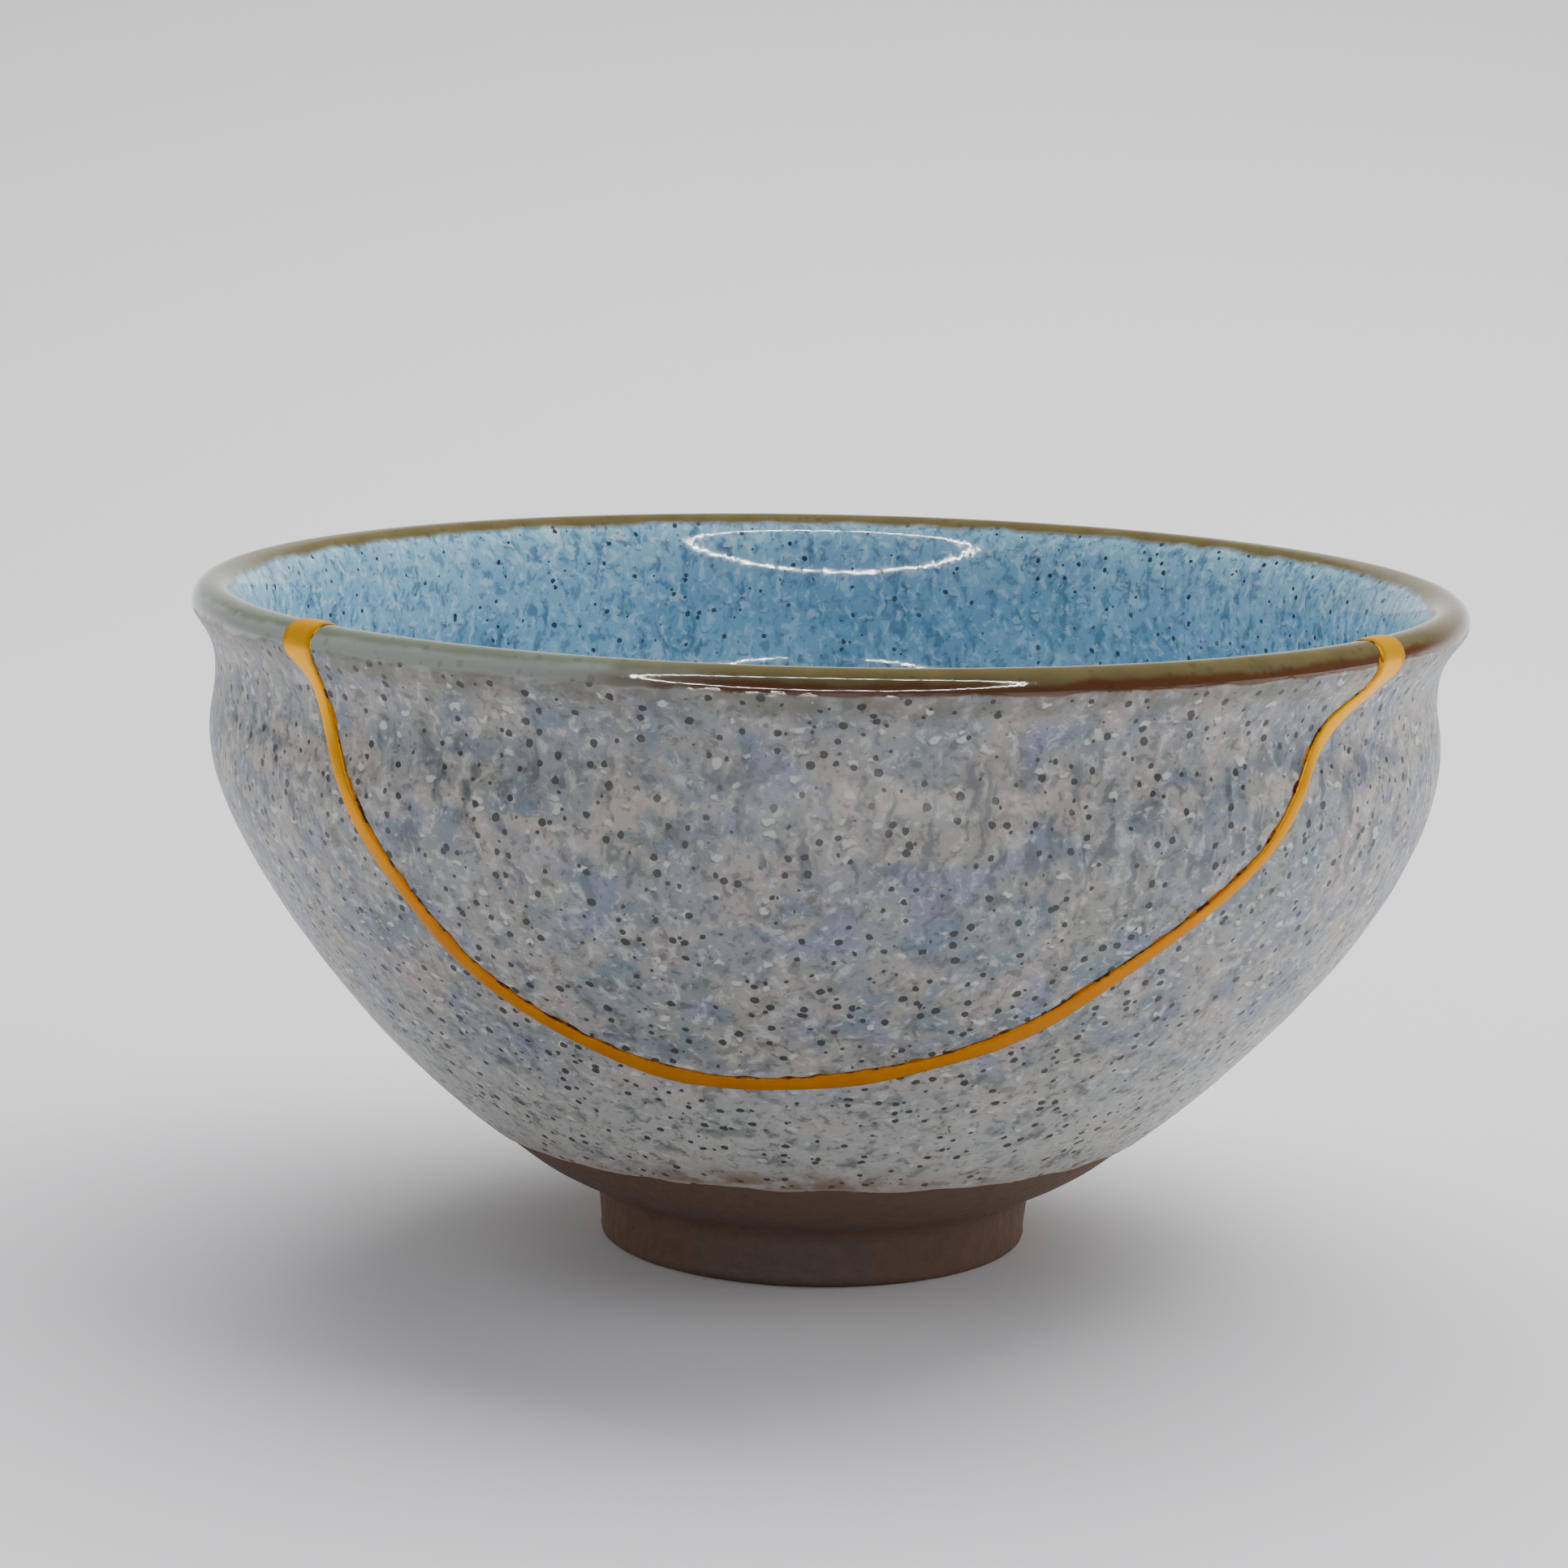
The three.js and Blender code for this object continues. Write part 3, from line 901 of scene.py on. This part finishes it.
def rim_glaze(s, place, edge, wander):
    """Colour of the rim, where the glaze ran thin: green-grey at the near left with a paler
    lower half, and olive elsewhere with a burnt lower edge over a cream line."""
    x, y = s.part(place, "X"), s.part(place, "Y")
    far = s.math("SUBTRACT", s.times(y, 0.9), 20.0)
    reach = s.plus(s.math("MAXIMUM", x, far), s.times(wander, 14.0))
    olive_share = s.ramp(reach, *OLIVE_REACH)
    cloud = s.noise(place, 4.0, 3.0)
    green = s.mix(cloud, RIM_GREEN, RIM_PALE_GREEN)
    green = s.mix(s.ramp(edge, *HAZE_EDGE, 0.0, 0.75), green, RIM_HAZE)
    olive = s.mix(cloud, RIM_OLIVE, RIM_PALE_OLIVE)
    burnt = s.times(s.ramp(edge, *BURNT_EDGE), olive_share)
    colour = s.mix(burnt, s.mix(olive_share, green, olive), RIM_BURNT)
    cream = s.times(s.ramp(edge, *CREAM_EDGE), s.ramp(cloud, 0.44, 0.56, 0.1, 0.8))
    return s.mix(cream, colour, RIM_CREAM)


def glaze_material(glaze_line):
    s = Shader("speckled_glaze")
    place = s.millimetres()
    height = s.part(place, "Z")
    along = s.value("along")
    warp, fine_warp = s.warp(place, 2.2), s.warp(place, 0.7)
    wander = s.math("SUBTRACT", s.noise(place, 5.0, 3.0), 0.5)
    edge = s.plus(along, s.times(wander, EDGE_WANDER))
    colour = outside_glaze(s, place, height, warp)

    clay_share = s.ramp(edge, glaze_line + CLAY_EDGE, glaze_line - CLAY_EDGE)
    inside_share = s.ramp(edge, RIM_INNER_EDGE - 0.4, RIM_INNER_EDGE + 0.6)
    rim_share = s.times(
        s.ramp(edge, RIM_OUTER_EDGE - 0.4, RIM_OUTER_EDGE + 0.2), s.rest(inside_share),
    )
    patches = s.noise(place, 3.0, 2.0, 0.6)
    # Painted shade under the lip: a patchy olive-brown band below the rim
    under_rim_shade = s.times(s.ramp(edge, *UNDER_SHADE_EDGE), s.ramp(patches, 0.36, 0.6, 0.2, 0.8))
    colour = s.mix(under_rim_shade, colour, UNDER_RIM_SHADE)
    colour = s.mix(inside_share, colour, inside_glaze(s, place, along, warp))

    ragged = s.stretched(s.warped(s.warped(place, warp, 1.2), fine_warp, 0.8), (1.0, 1.0, 1.6))
    white = s.spots(ragged, *PITS)
    # Painted shadow: a dark crescent beside each pale pit
    crescent_shadow = s.spots(s.moved(ragged, CRESCENT_SHADOW_SHIFT), *PITS)
    colour = s.mix(s.times(crescent_shadow, 0.5), colour, CRESCENT_SHADOW)
    pale = s.mix(inside_share, WHITE_PIT, BLUE_PIT)
    colour = s.mix(s.times(white, 0.75), colour, pale)
    colour = s.mix(rim_share, colour, rim_glaze(s, place, edge, wander))

    aside = s.math("ABSOLUTE", s.plus(s.part(place, "X"), STAIN_LEFT))
    low_band = s.ramp(edge, glaze_line + STAIN_TOP, glaze_line + STAIN_FULL)
    stain = s.times(low_band, s.ramp(aside, *STAIN_SIDES, 0.3, 1.0))
    stain = s.times(stain, s.ramp(patches, 0.34, 0.58, 0.15, 0.85))
    colour = s.mix(stain, colour, STAIN)
    thin = s.ramp(edge, glaze_line + THIN_TOP_EDGE, glaze_line + THIN_FULL, 0.0, 0.6)
    colour = s.mix(thin, colour, THIN_GLAZE)

    bare = s.rest(s.times(rim_share, 0.8))
    spots_at = s.warped(place, fine_warp, 0.35)
    faint = s.spots(s.moved(spots_at, FAINT_SHIFT), *FAINT_SPECKS)
    colour = s.mix(s.times(faint, s.times(bare, 0.5)), colour, FAINT_SPECK)
    specks = s.spots(spots_at, *SPECKS, s.times(inside_share, SPECK_LOSS_INSIDE))
    ink = s.mix(inside_share, SPECK, BLUE_SPECK)
    colour = s.mix(s.times(specks, s.times(bare, 0.94)), colour, ink)

    clay = s.mix(s.noise(place, 1.6, 3.0, 0.7), CLAY, PALE_CLAY)
    colour = s.mix(clay_share, colour, clay)

    glossy = s.math("MAXIMUM", inside_share, rim_share)
    rough = s.mix(glossy, grey(SATIN_ROUGHNESS), grey(GLOSSY_ROUGHNESS))
    rough = s.mix(clay_share, rough, grey(CLAY_ROUGHNESS))

    relief_share = s.rest(s.times(glossy, 0.9))
    normal = s.bump(s.times(s.noise(place, 1.2, 1.0), relief_share), GLAZE_RIPPLE)
    return s.finish(colour, rough, normal, IOR=GLAZE_IOR)


def gold_material():
    s = Shader("gold_lacquer")
    place = s.millimetres()
    height = s.part(place, "Z")
    side = s.value("across")
    low = s.mix(s.noise(place, 3.0, 3.0), DEEP_GOLD, GOLD)
    # Painted light: the gold grows lighter towards the lip
    colour = s.mix(s.ramp(height, *GOLD_LIGHT_RISE), low, LIT_LIP_GOLD)
    wander = s.math("SUBTRACT", s.noise(place, 0.8, 3.0), 0.5)
    ragged = s.plus(side, s.times(wander, 0.3))
    # Painted shade: the gold darkens towards the bead's edges
    colour = s.mix(s.ramp(s.math("ABSOLUTE", ragged), 0.55, 1.0, 0.0, 0.5), colour, GOLD_EDGE_SHADE)
    broken = s.ramp(s.noise(place, 1.8), 0.46, 0.54, 0.15, 1.0)
    lacquer = s.times(s.ramp(ragged, 0.93, 1.02), broken)
    colour = s.mix(lacquer, colour, LACQUER)
    grain = s.noise(place, 0.35, 3.0, 0.6)
    rough = s.ramp(grain, 0.3, 0.7, *GOLD_ROUGHNESS)
    normal = s.bump(grain, GOLD_RIPPLE)
    return s.finish(colour, rough, normal, Metallic=GOLD_METAL, IOR=GOLD_IOR)


def paper_material():
    """Pale matt paper, with painted shade that makes it a little darker where it rises behind the
    bowl.
    """
    s = Shader("floor_paper")
    place = s.millimetres()
    level = s.mix(s.noise(place, 180.0, 2.0), PAPER, PAPER_CLOUD)
    # Painted shade: darker as the paper rises into the backdrop
    colour = s.mix(s.ramp(s.part(place, "Z"), *BACKDROP_SHADE_RISE), level, BACKDROP_SHADE)
    return s.finish(colour, PAPER_ROUGHNESS)


# Floor, lights and camera

SKY_COLOUR = (0.93, 0.95, 1.0, 1.0)
SKY_STRENGTH = 0.22
PANEL_TARGET = (0.0, 0.0, 0.02)


def sweep_floor():
    """Pale floor that curves up behind the bowl into a backdrop."""
    near, back, top, bend, half_width = -900.0, 900.0, 1500.0, 500.0, 1800.0
    bend_points = 33
    angle = np.linspace(0.0, math.pi / 2, bend_points)
    y = np.concatenate(([near], back - bend + bend * np.sin(angle), [back]))
    z = np.concatenate(([0.0], bend - bend * np.cos(angle), [top]))
    corners = np.array([(x, a, b) for a, b in zip(y, z) for x in (-half_width, half_width)])
    faces = [(2 * i, 2 * i + 1, 2 * i + 3, 2 * i + 2) for i in range(len(y) - 1)]
    floor = mesh_object("floor", corners, faces)
    floor.data.shade_smooth()
    floor.data.materials.append(paper_material())


def aim(light, spot, target):
    light.location = spot
    light.rotation_mode = "QUATERNION"
    light.rotation_quaternion = (Vector(target) - Vector(spot)).to_track_quat("-Z", "Y")


def area_light(name, spot, target, size, watts):
    data = bpy.data.lights.new(name, "AREA")
    data.shape = "RECTANGLE"
    data.size, data.size_y = size
    data.energy = watts
    light = bpy.data.objects.new(name, data)
    bpy.context.scene.collection.objects.link(light)
    aim(light, spot, target)
    return light


def ring_lamp():
    """Ring of short strips above the camera's line, which the glossy glaze reflects as dashes."""
    count, half_angle, lift, distance = 36, math.radians(28.3), math.radians(33.6), 0.52
    length, thinnest, growth, watts = 0.030, 0.0055, 1.2, 0.09
    heart = Vector((0.0, 0.0, RIM_HEIGHT / METRE))
    outward = Vector((0.0, -math.cos(lift), math.sin(lift)))
    side = Vector((1.0, 0.0, 0.0))
    rising = side.cross(outward) * -1.0
    for i in range(count):
        turn = 2 * math.pi * i / count
        rim = side * math.cos(turn) + rising * math.sin(turn)
        spot = heart + (outward * math.cos(half_angle) + rim * math.sin(half_angle)) * distance
        height = thinnest * (1.0 + growth * max(math.sin(turn), 0.0))
        strip = area_light(f"ring_{i}", spot, heart, (length, height), watts)
        strip.visible_diffuse = False
        tangent = rising * math.cos(turn) - side * math.sin(turn)
        facing = (spot - heart).normalized()
        upright = facing.cross(tangent)
        strip.rotation_quaternion = Matrix((tangent, upright, facing)).transposed().to_quaternion()


def lights():
    world = bpy.data.worlds.new("studio")
    bpy.context.scene.world = world
    world.use_nodes = True
    background = world.node_tree.nodes["Background"]
    background.inputs["Color"].default_value = SKY_COLOUR
    background.inputs["Strength"].default_value = SKY_STRENGTH
    panels = (
        ("soft_top", (0.15, 0.27, 0.8), (1.0, 0.8), 13.5),
        ("soft_left", (-0.9, 0.0, 0.3), (0.6, 0.6), 2.1),
        ("soft_right", (0.9, 0.0, 0.3), (0.6, 0.6), 3.9),
    )
    for name, spot, size, watts in panels:
        panel = area_light(name, spot, PANEL_TARGET, size, watts)
        panel.visible_glossy = False
    ring_lamp()


def camera():
    """Camera at the fitted place, turned by the fitted angles."""
    heart = Vector((0.0, 0.0, RIM_HEIGHT / METRE))
    back = Vector((0.0, -math.cos(CAMERA_ELEVATION), math.sin(CAMERA_ELEVATION)))
    forward, side = -back, Vector((1.0, 0.0, 0.0))
    upward = side.cross(forward)
    forward, upward = (
        forward * math.cos(CAMERA_PITCH) + upward * math.sin(CAMERA_PITCH),
        upward * math.cos(CAMERA_PITCH) - forward * math.sin(CAMERA_PITCH),
    )
    forward, side = (
        forward * math.cos(CAMERA_YAW) + side * math.sin(CAMERA_YAW),
        side * math.cos(CAMERA_YAW) - forward * math.sin(CAMERA_YAW),
    )
    side, upward = (
        side * math.cos(CAMERA_ROLL) + upward * math.sin(CAMERA_ROLL),
        upward * math.cos(CAMERA_ROLL) - side * math.sin(CAMERA_ROLL),
    )
    data = bpy.data.cameras.new("camera")
    data.lens = CAMERA_LENS
    data.sensor_width = SENSOR_WIDTH
    data.clip_start = 0.01
    made = bpy.data.objects.new("camera", data)
    bpy.context.scene.collection.objects.link(made)
    turn = Matrix((side, upward, -forward)).transposed().to_4x4()
    made.matrix_world = Matrix.Translation(heart + back * CAMERA_DISTANCE) @ turn
    bpy.context.scene.camera = made


# The bowl

def dress(piece, material, slot, *nodes):
    piece.data.materials.clear()
    piece.data.materials.append(material)
    smooth_shading(piece)
    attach(piece, "root")
    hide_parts(*nodes)


def build():
    points, places = whole_outline()
    glaze_line = place_at_height(points, places, GLAZE_HEIGHT)
    outline, places = evenly_spaced(points, places, glaze_line)
    glaze = glaze_material(glaze_line)
    course = break_points()

    corners, faces = turned_surface(outline, places, glaze_line, BODY_TURNS)
    body = mesh_object("glazed_body", corners, faces)
    combine(body, break_cone(course, BREAK_HAIR), "DIFFERENCE")

    fine_corners, fine_faces = turned_surface(outline, places, glaze_line, SHERD_TURNS)
    sherd = mesh_object("glazed_sherd", fine_corners, fine_faces)
    combine(sherd, break_cone(course, -BREAK_HAIR), "INTERSECT")

    for piece, node in ((body, "bowl_body"), (sherd, "mended_sherd")):
        add_value(piece, "along", nearest_place(unthrown(mesh_corners(piece)), outline, places))
        dress(piece, glaze, "speckled_glaze", node)

    surface = BVHTree.FromPolygons(corners.tolist(), faces)
    path = seam_path(surface, course, outline, places)
    stations, normals = resampled_loop(path, SEAM_SPACING, SEAM_SOFTENING)
    gold, across, half = seam_band(stations, normals)
    add_value(gold, "across", sideways_share(mesh_corners(gold), stations, across, half))
    dress(gold, gold_material(), "gold_lacquer", "gold_seam")


build()
sweep_floor()
lights()
camera()
